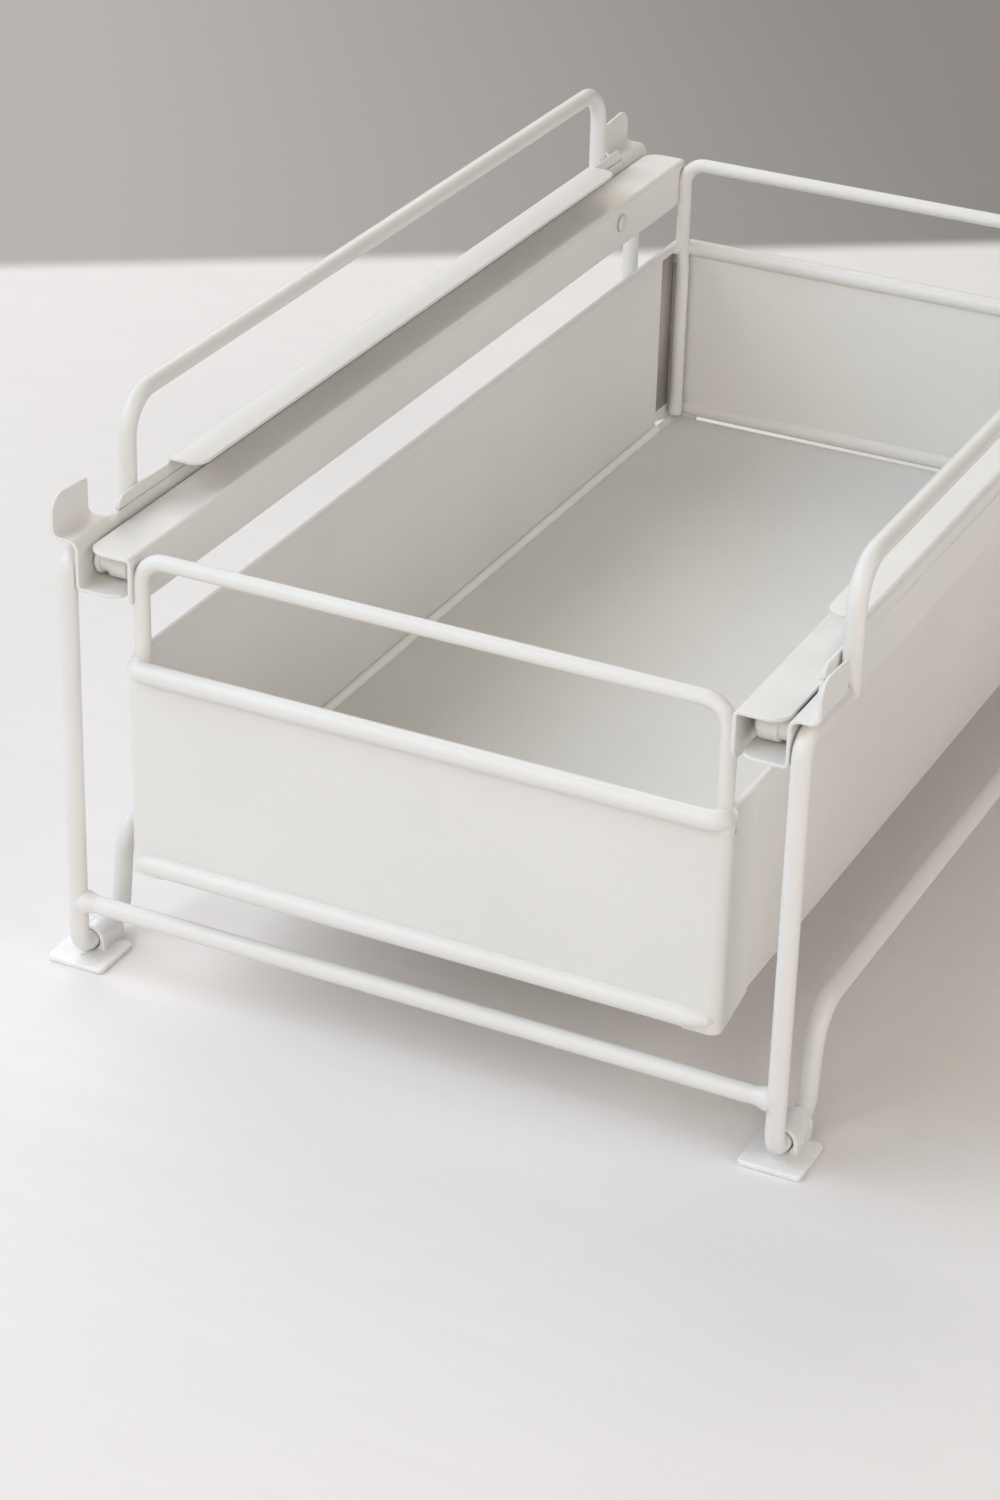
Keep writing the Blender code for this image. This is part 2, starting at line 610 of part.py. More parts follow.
def build():
    """Make every piece."""
    clear_scene()
    pieces = new_collection(COLLECTION)
    cutters = new_collection("cutters")
    coat = finish("powder_coat", POWDER_COAT, 0.45)
    plastic = finish("clear_plastic", CLEAR_PLASTIC, 0.30)
    nylon = finish("nylon", NYLON, 0.40)
    steel = finish("pin_steel", STEEL, 0.35, 1.0)
    for side, side_name in ((-1, "left"), (1, "right")):
        rail(side_name + "_rail", side, coat, pieces, cutters)
        side_wire(side_name + "_side_wire", side, coat, pieces)
        guard_wire(side_name + "_guard_wire", side, coat, pieces)
        hanger(side_name + "_hanger", side, coat, pieces, cutters)
        inner = WEB_INSIDE - RUNNING_GAP - FRONT_ROLLER_WIDTH - GAP
        y = along(FRONT_ROLLER_SETBACK, -1)
        roller(side_name + "_front_roller", side, inner, FRONT_ROLLER_WIDTH, y, FRONT_ROLLER_HEIGHT, nylon,
               pieces)
        pin(side_name + "_front_pin", side, inner - GAP, WEB_OUTSIDE, False, y, FRONT_ROLLER_HEIGHT, steel,
            pieces)
        inner = HANGER_OUTSIDE + GAP + RUNNING_GAP
        y = along(REAR_ROLLER_SETBACK, 1)
        roller(side_name + "_rear_roller", side, inner, REAR_ROLLER_WIDTH, y, REAR_ROLLER_HEIGHT, nylon,
               pieces)
        pin(side_name + "_rear_pin", side, HANGER_INSIDE - GAP, inner + REAR_ROLLER_WIDTH + GAP, True, y,
            REAR_ROLLER_HEIGHT, steel, pieces)
    for end, end_name in ((-1, "front"), (1, "rear")):
        crossbar(end_name + "_crossbar", end, coat, pieces)
        for side, side_name in ((-1, "left"), (1, "right")):
            foot(end_name + "_" + side_name + "_foot", side, end, plastic, pieces, cutters)
    drawer_tray(coat, pieces)
    for end, end_name in ((-1, "front"), (1, "back")):
        panel(end_name + "_panel", end, coat, pieces)
        hoop(end_name + "_hoop", end, coat, pieces)
        edge_wire(end_name + "_rim_wire", end, TRAY_OUTSIDE - RIM_INSET, RIM_HEIGHT, coat, pieces)
        edge_wire(end_name + "_bottom_wire", end, BOTTOM_WIRE_REACH, BOTTOM_WIRE_HEIGHT, coat, pieces)
    shade_round(pieces)


build()
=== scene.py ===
import math

import bmesh
import bpy
import numpy as np
from mathutils import Matrix


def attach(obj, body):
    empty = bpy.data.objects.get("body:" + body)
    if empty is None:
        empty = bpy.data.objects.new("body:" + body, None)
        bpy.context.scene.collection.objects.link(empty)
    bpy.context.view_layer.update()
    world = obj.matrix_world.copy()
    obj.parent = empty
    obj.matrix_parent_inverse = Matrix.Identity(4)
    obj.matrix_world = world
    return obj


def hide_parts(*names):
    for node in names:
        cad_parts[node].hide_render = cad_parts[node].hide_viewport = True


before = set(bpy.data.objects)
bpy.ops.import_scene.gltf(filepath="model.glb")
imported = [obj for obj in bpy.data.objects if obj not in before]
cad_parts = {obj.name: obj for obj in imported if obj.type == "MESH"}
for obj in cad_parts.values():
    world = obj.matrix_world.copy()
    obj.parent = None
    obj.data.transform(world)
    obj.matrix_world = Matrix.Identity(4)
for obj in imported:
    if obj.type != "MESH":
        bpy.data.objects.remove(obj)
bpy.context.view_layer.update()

scene = bpy.context.scene
print("frame loaded")

# sizes that several pieces share, in metres, as the solids have them
shared = {
    "halfLength": 0.170,      # to the rails' ends
    "sheet": 0.001,
    "wire": 0.0025,           # radius of the frame's wire
    "handleWire": 0.0021,     # radius of the hoops' wire
    "gap": 0.0003,
    "webOutside": 0.0955,
    "ledge": 0.1093,
    "sides": 32,              # facets round a wire
    "bendSteps": 14,          # steps round a wire's bend
}
halfLength = shared["halfLength"]
halfSheet = shared["sheet"] / 2
wireSide = shared["webOutside"] + shared["gap"] + shared["wire"]
hands = ((-1, "left"), (1, "right"))

# how finely the meshes are made, lengths in metres
meshing = {
    "endSteps": 6,             # rings in a wire's rounded end
    "wireEdge": 0.0006,        # rounding of a wire's end
    "sheetEdge": 0.00032,      # rounding of a sheet's cut edge
    "edgeRows": 3,             # rows in each half of that rounding
    "sharpest": 0.5,           # keeps a step at an acute corner short
    "probe": 0.00002,          # distance over which a fold's slope is taken
    "merge": 0.00003,          # points nearer than this become one
    "cutTolerance": 0.000001,
    "noDivide": 10,            # beyond the end of every sheet
    "shadingWeight": 80,
    "turnedSides": 64,         # facets round a roller or a rivet
    "sharpAngle": 50,          # degrees
}


# camera and stage
camera = {
    "place": (0.35909, -0.87288, 0.51850),
    "yaw": -25.597, "pitch": -28.491, "roll": 1.618,   # degrees
    "lens": 89.54, "sensor": 36,                       # millimetres
    "near": 0.01, "far": 50,
}


def standing(across, above, ahead, place):
    # the matrix of a camera or lamp that looks ahead
    rows = np.eye(4)
    rows[:3, 0], rows[:3, 1], rows[:3, 2], rows[:3, 3] = across, above, -ahead, place
    return Matrix(rows.tolist())


def addCamera():
    yaw, pitch, roll = (math.radians(camera[key]) for key in ("yaw", "pitch", "roll"))
    ahead = np.array([math.sin(yaw) * math.cos(pitch), math.cos(yaw) * math.cos(pitch), math.sin(pitch)])
    right = np.cross(ahead, (0, 0, 1))
    right /= np.linalg.norm(right)
    up = np.cross(right, ahead)
    across = right * math.cos(roll) + up * math.sin(roll)
    above = up * math.cos(roll) - right * math.sin(roll)
    data = bpy.data.cameras.new("camera")
    data.sensor_fit = "AUTO"
    data.sensor_width = camera["sensor"]
    data.lens = camera["lens"]
    data.clip_start = camera["near"]
    data.clip_end = camera["far"]
    made = bpy.data.objects.new("camera", data)
    scene.collection.objects.link(made)
    made.matrix_world = standing(across, above, ahead, camera["place"])
    scene.camera = made


addCamera()


# materials
def nodeHelper(name):
    material = bpy.data.materials.new(name)
    material.use_nodes = True
    nodes = material.node_tree.nodes
    links = material.node_tree.links
    return material, nodes, links, nodes["Principled BSDF"]


def noiseNode(nodes, links, scale, detail, roughness=0.5, stretch=(1, 1, 1)):
    place = nodes.new("ShaderNodeTexCoord")
    fit = nodes.new("ShaderNodeMapping")
    fit.inputs["Scale"].default_value = stretch
    links.new(place.outputs["Object"], fit.inputs["Vector"])
    noise = nodes.new("ShaderNodeTexNoise")
    noise.inputs["Scale"].default_value = scale
    noise.inputs["Detail"].default_value = detail
    noise.inputs["Roughness"].default_value = roughness
    links.new(fit.outputs["Vector"], noise.inputs["Vector"])
    return noise


noiseMiddle = {"low": 0.3, "high": 0.7}   # most of a noise's values lie between these


def spread(nodes, links, source, low, high):
    # low + (high - low) * value, over the middle of the noise
    span = nodes.new("ShaderNodeMapRange")
    span.inputs["From Min"].default_value = noiseMiddle["low"]
    span.inputs["From Max"].default_value = noiseMiddle["high"]
    span.inputs["To Min"].default_value = low
    span.inputs["To Max"].default_value = high
    links.new(source, span.inputs["Value"])
    return span.outputs["Result"]


def blendColours(nodes, links, share, first, second):
    mix = nodes.new("ShaderNodeMix")
    mix.data_type = "RGBA"
    links.new(share, mix.inputs["Factor"])
    mix.inputs[6].default_value = (*first, 1)
    mix.inputs[7].default_value = (*second, 1)
    return mix.outputs[2]


def bumpNode(nodes, links, source, height):
    bump = nodes.new("ShaderNodeBump")
    bump.inputs["Strength"].default_value = 1
    bump.inputs["Distance"].default_value = height
    links.new(source, bump.inputs["Height"])
    return bump


def toneAndGloss(nodes, links, shader, noise, s):
    # one noise moves the colour between two tones and the roughness between two values
    share = spread(nodes, links, noise.outputs["Fac"], 0, 1)
    links.new(blendColours(nodes, links, share, *s["tones"]), shader.inputs["Base Color"])
    links.new(spread(nodes, links, noise.outputs["Fac"], *s["gloss"]), shader.inputs["Roughness"])


# each tone is a pair, light and dark
coatFinish = {
    "body": ((0.795, 0.785, 0.762), (0.762, 0.752, 0.727)),
    # the next tone is a painted highlight: a paler coat for the bright line along the floor's folds
    "seamHighlight": ((0.95, 0.94, 0.92), (0.91, 0.90, 0.88)),
    # the next tone is painted shade: a dark coat standing in for the shadow in the tray's rear slots
    "slotShade": ((0.40, 0.375, 0.335), (0.36, 0.335, 0.30)),
    "cloudScale": 22, "cloudDetail": 3,
    "peelScale": 850, "peelDetail": 1.5, "peelHeight": 0.00006,
    "grainScale": 5200, "grainDetail": 1, "grainHeight": 0.000012,
    "gloss": (0.36, 0.46), "ior": 1.5,
}


def makeCoat(name, tones):
    # satin powder coat: slow clouds of tone, an orange peel about 1 mm across and a fine grain on it
    s = coatFinish
    material, nodes, links, shader = nodeHelper(name)
    clouds = noiseNode(nodes, links, s["cloudScale"], s["cloudDetail"])
    peel = noiseNode(nodes, links, s["peelScale"], s["peelDetail"])
    grain = noiseNode(nodes, links, s["grainScale"], s["grainDetail"])
    share = spread(nodes, links, clouds.outputs["Fac"], 0, 1)
    links.new(blendColours(nodes, links, share, *tones), shader.inputs["Base Color"])
    links.new(spread(nodes, links, peel.outputs["Fac"], *s["gloss"]), shader.inputs["Roughness"])
    first = bumpNode(nodes, links, peel.outputs["Fac"], s["peelHeight"])
    second = bumpNode(nodes, links, grain.outputs["Fac"], s["grainHeight"])
    links.new(first.outputs["Normal"], second.inputs["Normal"])
    links.new(second.outputs["Normal"], shader.inputs["Normal"])
    shader.inputs["IOR"].default_value = s["ior"]
    return material


footFinish = {
    "tones": ((0.90, 0.90, 0.885), (0.84, 0.84, 0.82)), "gloss": (0.22, 0.34), "scale": 160, "detail": 3,
    "scatter": 0.6, "scatterTint": (1.0, 0.95, 0.9), "scatterReach": 0.003, "ior": 1.48,
}


def makeFootPlastic():
    # milky soft plastic: light passes a little way in
    s = footFinish
    material, nodes, links, shader = nodeHelper("milkyPlastic")
    toneAndGloss(nodes, links, shader, noiseNode(nodes, links, s["scale"], s["detail"]), s)
    shader.inputs["Subsurface Weight"].default_value = s["scatter"]
    shader.inputs["Subsurface Radius"].default_value = s["scatterTint"]
    shader.inputs["Subsurface Scale"].default_value = s["scatterReach"]
    shader.inputs["IOR"].default_value = s["ior"]
    return material


rollerFinish = {
    "tones": ((0.80, 0.79, 0.755), (0.76, 0.75, 0.72)), "gloss": (0.34, 0.5), "scale": 90, "detail": 3,
    "roughness": 0.6, "stretch": (5, 1, 1), "scatter": 0.15, "scatterReach": 0.0015,
}


def makeNylon():
    # off-white nylon, with fine rings round it where it runs
    s = rollerFinish
    material, nodes, links, shader = nodeHelper("rollerNylon")
    rings = noiseNode(nodes, links, s["scale"], s["detail"], s["roughness"], s["stretch"])
    toneAndGloss(nodes, links, shader, rings, s)
    shader.inputs["Subsurface Weight"].default_value = s["scatter"]
    shader.inputs["Subsurface Scale"].default_value = s["scatterReach"]
    return material


steelFinish = {
    "tones": ((0.80, 0.79, 0.77), (0.70, 0.69, 0.67)), "gloss": (0.26, 0.42), "scale": 700, "detail": 4,
    "roughness": 0.65, "metal": 0.3,
}


def makeSteel():
    # zinc plate on the rivets: blotches with a fine grain
    s = steelFinish
    material, nodes, links, shader = nodeHelper("zincSteel")
    toneAndGloss(nodes, links, shader, noiseNode(nodes, links, s["scale"], s["detail"], s["roughness"]), s)
    shader.inputs["Metallic"].default_value = s["metal"]
    return material


coat = makeCoat("satinPowderCoat", coatFinish["body"])
# painted highlight for the beads in the floor's folds
seamHighlightCoat = makeCoat("paintedHighlightSeam", coatFinish["seamHighlight"])
# painted shade for the tray's rear slots
slotShadeCoat = makeCoat("slotShadeCoat", coatFinish["slotShade"])
milkyPlastic = makeFootPlastic()
nylon = makeNylon()
zincSteel = makeSteel()
finishes = {"powder_coat": coat, "foot_plastic": milkyPlastic, "roller_nylon": nylon, "pin_steel": zincSteel}
print("materials made")


# shapes
def bentPath(corners, radii, steps=None, closed=False):
    # each corner becomes an arc: centre + (start * sin((1 - s) * sweep) + stop * sin(s * sweep)) / sin(sweep)
    steps = steps or shared["bendSteps"]
    points = [np.array(corner, float) for corner in corners]
    share = np.linspace(0, 1, steps + 1)[:, None]
    path = []
    for index, corner in enumerate(points):
        radius = radii[index]
        if radius == 0 or (not closed and index in (0, len(points) - 1)):
            path.append(corner[None])
            continue
        back = points[index - 1] - corner
        ahead = points[(index + 1) % len(points)] - corner
        back, ahead = back / np.linalg.norm(back), ahead / np.linalg.norm(ahead)
        opening = math.acos(float(np.clip(back @ ahead, -1, 1)))
        middle = back + ahead
        centre = corner + middle / np.linalg.norm(middle) * radius / math.sin(opening / 2)
        start = corner + back * radius / math.tan(opening / 2) - centre
        stop = corner + ahead * radius / math.tan(opening / 2) - centre
        sweep = math.pi - opening
        arc = start * np.sin((1 - share) * sweep) + stop * np.sin(share * sweep)
        path.append(centre + arc / math.sin(sweep))
    return np.concatenate(path)


def lengthsAlong(path):
    return np.concatenate(([0.0], np.cumsum(np.linalg.norm(np.diff(path, axis=0), axis=1))))


def addPiece(name, verts, faces, body, nodes, slot="powder_coat"):
    mesh = bpy.data.meshes.new(name)
    mesh.from_pydata(verts, [], faces)
    mesh.validate()
    mesh.shade_smooth()
    piece = bpy.data.objects.new(name, mesh)
    scene.collection.objects.link(piece)
    return dress(piece, body, nodes, slot)


def dress(piece, body, nodes, slot="powder_coat"):
    piece.data.materials.append(finishes[slot])
    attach(piece, body)
    if nodes:
        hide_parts(*nodes)
    return piece


def gridFaces(rows, columns, first=0):
    # quads between neighbouring rings of a tube
    ring = np.arange(columns)
    row = np.arange(rows - 1)[:, None] * columns + first
    here, after = row + ring, row + (ring + 1) % columns
    return np.stack([here, after, after + columns, here + columns], axis=-1).reshape(-1, 4).tolist()


def closeEnds(rings):
    # verts and faces of a tube of rings, each end closed by a fan round its middle
    rows, columns = rings.shape[:2]
    verts = np.concatenate([rings.reshape(-1, 3), rings[[0, -1]].mean(axis=1)])
    faces = gridFaces(rows, columns)
    ring = np.arange(columns)
    turned = (ring + 1) % columns
    start, stop = rows * columns, rows * columns + 1
    last = (rows - 1) * columns
    faces += np.stack([turned, ring, np.full(columns, start)], axis=-1).tolist()
    faces += np.stack([ring + last, turned + last, np.full(columns, stop)], axis=-1).tolist()
    return verts.tolist(), faces


def wireRings(path, side, radius, sides, edge):
    # point = centre(u) + radius(u) * (cos v * across + sin v * side); both ends are rounded off by edge
    pieces = np.diff(path, axis=0)
    pieces /= np.linalg.norm(pieces, axis=1)[:, None]
    along = np.concatenate([pieces[:1], pieces[:-1] + pieces[1:], pieces[-1:]])
    along /= np.linalg.norm(along, axis=1)[:, None]
    steps = meshing["endSteps"]
    turn = np.linspace(math.pi / 2, 0, steps)
    out = edge - edge * np.sin(turn)
    cut = edge - edge * np.cos(turn)
    radius = np.broadcast_to(radius, len(path))
    start = path[0] + along[0] * out[:, None]
    stop = path[-1] - along[-1] * out[::-1, None]
    centres = np.concatenate([start, path[1:-1], stop])
    radii = np.concatenate([radius[0] - cut, radius[1:-1], radius[-1] - cut[::-1]])
    along = np.concatenate([np.repeat(along[:1], steps, 0), along[1:-1], np.repeat(along[-1:], steps, 0)])
    side = np.array(side, float)
    across = np.cross(along, side)
    around = np.linspace(0, 2 * math.pi, sides, endpoint=False)
    spokes = np.cos(around)[None, :, None] * across[:, None] + np.sin(around)[None, :, None] * side
    return centres[:, None] + radii[:, None, None] * spokes


def addWire(name, corners, radii, radius, side, body, nodes, edge=meshing["wireEdge"], material=None):
    rings = wireRings(bentPath(corners, radii), side, radius, shared["sides"], edge)
    piece = addPiece(name, *closeEnds(rings), body, nodes)
    if material:
        piece.data.materials[0] = material
    return piece


def addMirroredBar(name, right, radius, edge, body, node):
    # a bar along X, its left half the mirror of the right
    path = np.concatenate([right[::-1] * np.array([-1, 1, 1]), right])
    rings = wireRings(path, (0, 0, 1), np.concatenate([radius[::-1], radius]), shared["sides"], edge)
    return addPiece(name, *closeEnds(rings), body, [node])


def fixNormals(piece):
    shape = bmesh.new()
    shape.from_mesh(piece.data)
    bmesh.ops.recalc_face_normals(shape, faces=shape.faces)
    shape.to_mesh(piece.data)
    shape.free()


def evenShading(piece):
    even = piece.modifiers.new("evenShading", "WEIGHTED_NORMAL")
    even.keep_sharp = False
    even.weight = meshing["shadingWeight"]


def roundEdges(piece, width, segments, angle):
    edge = piece.modifiers.new("roundedEdges", "BEVEL")
    edge.width = width
    edge.segments = segments
    edge.limit_method = "ANGLE"
    edge.angle_limit = math.radians(angle)
    edge.use_clamp_overlap = False
    evenShading(piece)


def creasePattern(pattern, place, across, wanted):
    # cuts only the faces whose middle is in the wanted part
    faces = [face for face in pattern.faces if wanted(face.calc_center_median().x)]
    edges = {edge for face in faces for edge in face.edges}
    verts = {vert for face in faces for vert in face.verts}
    bmesh.ops.bisect_plane(pattern, geom=[*verts, *edges, *faces], dist=meshing["cutTolerance"],
                           plane_co=place, plane_no=across)


def outwardSteps(rim):
    # the step at each corner of a closed outline, from its two edges' outward normals a and b:
    # (a + b) * 2 / |a + b|^2
    ahead = np.roll(rim, -1, axis=0) - rim
    ahead /= np.linalg.norm(ahead, axis=1, keepdims=True)
    area = np.sum(rim[:, 0] * np.roll(rim[:, 1], -1) - rim[:, 1] * np.roll(rim[:, 0], -1))
    normals = np.stack([ahead[:, 1], -ahead[:, 0]], axis=-1) * np.sign(area)
    both = normals + np.roll(normals, 1, axis=0)
    return both * 2 / np.maximum(np.sum(both * both, axis=1, keepdims=True), meshing["sharpest"])


def sheetNormals(fold, run, reach, probe=meshing["probe"]):
    # across the folded sheet, and longer at a crease so that both flats keep their thickness
    along = fold(run + probe, reach) - fold(run - probe, reach)
    over = fold(run, reach + probe) - fold(run, reach - probe)
    across = np.cross(along, over)
    return across * (2 * probe) ** 2 / np.sum(across * across, axis=1, keepdims=True)


def addSheet(name, outline, creases, fold, body, nodes, edge=meshing["sheetEdge"], farCreases=(),
             divides=(meshing["noDivide"],)):
    # a flat pattern of (run, reach) points, creased at each reach and laid on the fold: two skins and a
    # rounded cut edge; beyond the first divide it has creases of its own
    rim = np.array(outline, dtype=float)
    pattern = bmesh.new()
    pattern.faces.new([pattern.verts.new((run, reach, 0)) for run, reach in rim - outwardSteps(rim) * edge])
    divide = divides[0]
    for run in (*divides, *(-run for run in divides)):
        creasePattern(pattern, (run, 0, 0), (1, 0, 0), lambda middle: True)
    for reach in creases:
        creasePattern(pattern, (0, reach, 0), (0, 1, 0), lambda run: abs(run) < divide)
    for reach in farCreases:
        creasePattern(pattern, (0, reach, 0), (0, 1, 0), lambda run: abs(run) > divide)
    bmesh.ops.remove_doubles(pattern, verts=pattern.verts[:], dist=meshing["merge"])
    pattern.verts.index_update()
    flat = np.array([vert.co[:2] for vert in pattern.verts], dtype=float)
    skin = [[vert.index for vert in face.verts] for face in pattern.faces]
    following = {loop.vert.index: loop.link_loop_next.vert.index
                 for face in pattern.faces for loop in face.loops if loop.edge.is_boundary}
    pattern.free()
    border = [next(iter(following))]
    while following[border[-1]] != border[0]:
        border.append(following[border[-1]])
    border = np.array(border)
    normals = sheetNormals(fold, flat[:, 0], flat[:, 1])
    middle = fold(flat[:, 0], flat[:, 1])
    # each row of the cut edge: out by edge * sin(a), up by half the sheet - edge * (1 - cos(a))
    angles = np.linspace(0, math.pi / 2, meshing["edgeRows"] + 1)[1:]
    outs = edge * np.sin(angles)
    levels = halfSheet - edge * (1 - np.cos(angles))
    outward = outwardSteps(flat[border])
    rows = []
    for out, level in [*zip(outs, levels), *zip(outs[::-1], -levels[::-1])]:
        place = flat[border] + outward * out
        rows.append(fold(place[:, 0], place[:, 1]) + normals[border] * level)
    count = len(flat)
    verts = np.concatenate([middle + normals * halfSheet, middle - normals * halfSheet, *rows])
    first = 2 * count + np.arange(len(rows))[:, None] * len(border) + np.arange(len(border))
    rings = np.concatenate([border[None], first, border[None] + count])
    turned = np.roll(rings, -1, axis=1)
    faces = skin + [[index + count for index in reversed(face)] for face in skin]
    faces += np.stack([rings[:-1], rings[1:], turned[1:], turned[:-1]], axis=-1).reshape(-1, 4).tolist()
    piece = addPiece(name, verts.tolist(), faces, body, nodes)
    fixNormals(piece)
    evenShading(piece)
    return piece


def onPath(path, reach):
    # the point of a folded section at each distance along it
    marks = lengthsAlong(path)
    return np.interp(reach, marks, path[:, 0]), np.interp(reach, marks, path[:, 1])


# rails
railSizes = {
    "ledgeWidth": 0.0126, "lipHeight": 0.0194, "lipWidth": 0.0105, "lipSetback": 0.044,
    "shelfHeight": 0.0125, "shelfJog": 0.007, "earLength": 0.0166, "earHeight": 0.0243, "earDrop": 0.0013,
    "notchWidth": 0.0030, "notchRise": 0.0030, "fold": 0.0012, "shelfFold": 0.0024,
    "ledgeCorner": 0.004, "earCorner": 0.005, "earInner": 0.0008, "flangeCorner": 0.0035, "lipFoot": 0.0012,
    "lipCorner": 0.0045, "foldSteps": 7, "cornerSteps": 8,
    "divides": 6, "firstCut": 0.00003,   # the first divide is set off the notch's own corners
}


def addRail(name, side):
    s = railSizes
    web = shared["webOutside"] - halfSheet
    inner = shared["webOutside"] - s["ledgeWidth"]
    ledge = shared["ledge"] + halfSheet
    lip = shared["ledge"] + s["lipHeight"] - halfSheet
    shelf = shared["ledge"] + s["shelfHeight"] + halfSheet
    ear = web + s["shelfJog"]
    fold, steps = s["fold"], s["foldSteps"]
    lipInner = shared["webOutside"] - s["lipWidth"]
    earTop = shared["ledge"] + s["earHeight"]
    middle = bentPath([(inner, ledge), (web, ledge), (web, lip), (lipInner, lip)], [0, fold, fold, 0], steps)
    jogged = bentPath([(inner, ledge), (web, ledge), (web, shelf), (ear, shelf), (ear, earTop)],
                      [0, fold, s["shelfFold"], s["shelfFold"], 0], steps)
    middleMarks, joggedMarks = lengthsAlong(middle), lengthsAlong(jogged)
    webStart, webFoot = middleMarks[steps + 1], middle[steps + 1][1]
    notch = joggedMarks[steps + 2] + s["notchRise"]
    flange = webStart + lip - fold - webFoot
    lipEdge, earEdge = middleMarks[-1], joggedMarks[-1]
    end = halfLength
    earEnd = end - s["earLength"]
    flangeEnd = earEnd - s["notchWidth"]
    lipEnd = end - s["lipSetback"]
    notchRound = s["notchWidth"] / 2 - shared["gap"]
    half = [(end, 0), (end, earEdge), (earEnd, earEdge - s["earDrop"]), (earEnd, notch), (flangeEnd, notch),
            (flangeEnd, flange), (lipEnd, flange), (lipEnd, lipEdge)]
    radii = [s["ledgeCorner"], s["earCorner"], s["earInner"], notchRound, notchRound, s["flangeCorner"],
             s["lipFoot"], s["lipCorner"]]
    otherHalf = [(-run, reach) for run, reach in reversed(half)]
    outline = bentPath(half + otherHalf, radii + radii[::-1], s["cornerSteps"], True)

    def fold(run, reach):
        # inside the notches the section has the lip, beyond them the shelf and the ear, and a blend between
        nearX, nearZ = onPath(middle, reach)
        farX, farZ = onPath(jogged, reach)
        share = np.clip((np.abs(run) - flangeEnd) / (earEnd - flangeEnd), 0, 1)
        share = share * share * (3 - 2 * share)
        x, z = nearX + (farX - nearX) * share, nearZ + (farZ - nearZ) * share
        return np.stack([side * x, run, z], axis=-1)

    divides = np.linspace(flangeEnd + s["firstCut"], earEnd, s["divides"])
    return addSheet(name + "RailSheet", outline, middleMarks[1:-1], fold, "frame", [name + "_rail"],
                    farCreases=joggedMarks[1:-1], divides=divides)


for side, name in hands:
    addRail(name, side)
print("rails folded")


# wires of the frame
sideWireSizes = {
    "setback": 0.001, "topHeight": 0.1175, "topEnd": 0.0270, "topBend": 0.0045, "footBend": 0.005,
    "footRun": 0.0044, "riserFoot": 0.0215, "riserLean": 0.0035, "lowRail": 0.0316, "lowBend": 0.012,
}


def addSideWire(name, side):
    s = sideWireSizes
    x = side * wireSide
    rear = [(x, halfLength - s["topEnd"], s["topHeight"]), (x, halfLength - s["setback"], s["topHeight"]),
            (x, halfLength - s["setback"], s["footRun"]), (x, halfLength - s["riserFoot"], s["footRun"]),
            (x, halfLength - s["riserFoot"] - s["riserLean"], s["lowRail"])]
    radii = [0, s["topBend"], s["footBend"], s["footBend"], s["lowBend"]]
    front = [(place[0], -place[1], place[2]) for place in reversed(rear)]
    return addWire(name + "LegWire", rear + front, radii + radii[::-1], shared["wire"], (side, 0, 0), "frame",
                   [name + "_side_wire"])


guardSizes = {"setback": 0.030, "height": 0.1490, "foot": 0.1150, "bend": 0.011, "edge": 0.0022}


def addGuard(name, side):
    s = guardSizes
    x = side * wireSide
    y = halfLength - s["setback"]
    corners = [(x, -y, s["foot"]), (x, -y, s["height"]), (x, y, s["height"]), (x, y, s["foot"])]
    return addWire(name + "GuardHoop", corners, [0, s["bend"], s["bend"], 0], shared["wire"], (side, 0, 0),
                   "frame", [name + "_guard_wire"], s["edge"])


crossbarSizes = {
    "height": 0.0191, "weld": 0.0007, "weldReach": 0.0016,
    "neck": 0.00015, "neckPlace": 0.0036, "neckReach": 0.0008,
    "start": 0.012, "sink": 0.0022, "sunkRate": 1.5,           # sink is the length inside the leg
    "rings": 37, "edge": 0.0003,
}


def addCrossbar(name, end, node):
    # radius = wire + weld * exp(-(d / weldReach)^2) - neck * exp(-((d - neckPlace) / neckReach)^2),
    # with d the distance from the leg's skin
    s = crossbarSizes
    y = end * (halfLength - sideWireSizes["setback"])
    skin = wireSide - shared["wire"]
    out = np.linspace(s["start"], -s["sink"], s["rings"])
    d = np.where(out > 0, out, -out * s["sunkRate"])
    swelling = s["weld"] * np.exp(-(d / s["weldReach"]) ** 2)
    waist = s["neck"] * np.exp(-((d - s["neckPlace"]) / s["neckReach"]) ** 2)
    right = np.stack([skin - out, np.full(len(out), y), np.full(len(out), s["height"])], axis=-1)
    return addMirroredBar(name, right, shared["wire"] + swelling - waist, s["edge"], "frame", node)


for side, name in hands:
    addSideWire(name, side)
    addGuard(name, side)
addCrossbar("frontCrossbar", -1, "front_crossbar")
addCrossbar("rearCrossbar", 1, "rear_crossbar")
print("frame wires bent")


# drawer
traySizes = {
    "outside": 0.0807, "top": 0.094, "floor": 0.0322, "fold": 0.003, "edge": 0.0002,
    "floorSetback": 0.0025, "tabSetback": 0.0008, "tabWidth": 0.0048,
    "sideSetback": 0.0175, "hemSetback": 0.0037, "hemHeight": 0.0067, "hemGap": 0.0007, "slotDrop": 0.0010,
    "foldSteps": 6,       # a multiple of three, as the floor starts a third of the way round its fold
    # where the painted-shade sheet stands, behind each rear slot
    "slotShadeOut": (0.08082, 0.08098), "slotShadeBack": (0.0180, 0.0062), "slotShadeHigh": (0.0385, 0.0918),
    # the bead in the floor's folds, coated paler than the body as a painted highlight along each fold
    "seamHighlight": 0.0013, "seamIn": 0.0011, "seamUp": 0.0014, "seamHalf": 0.1520, "seamEdge": 0.0010,
}


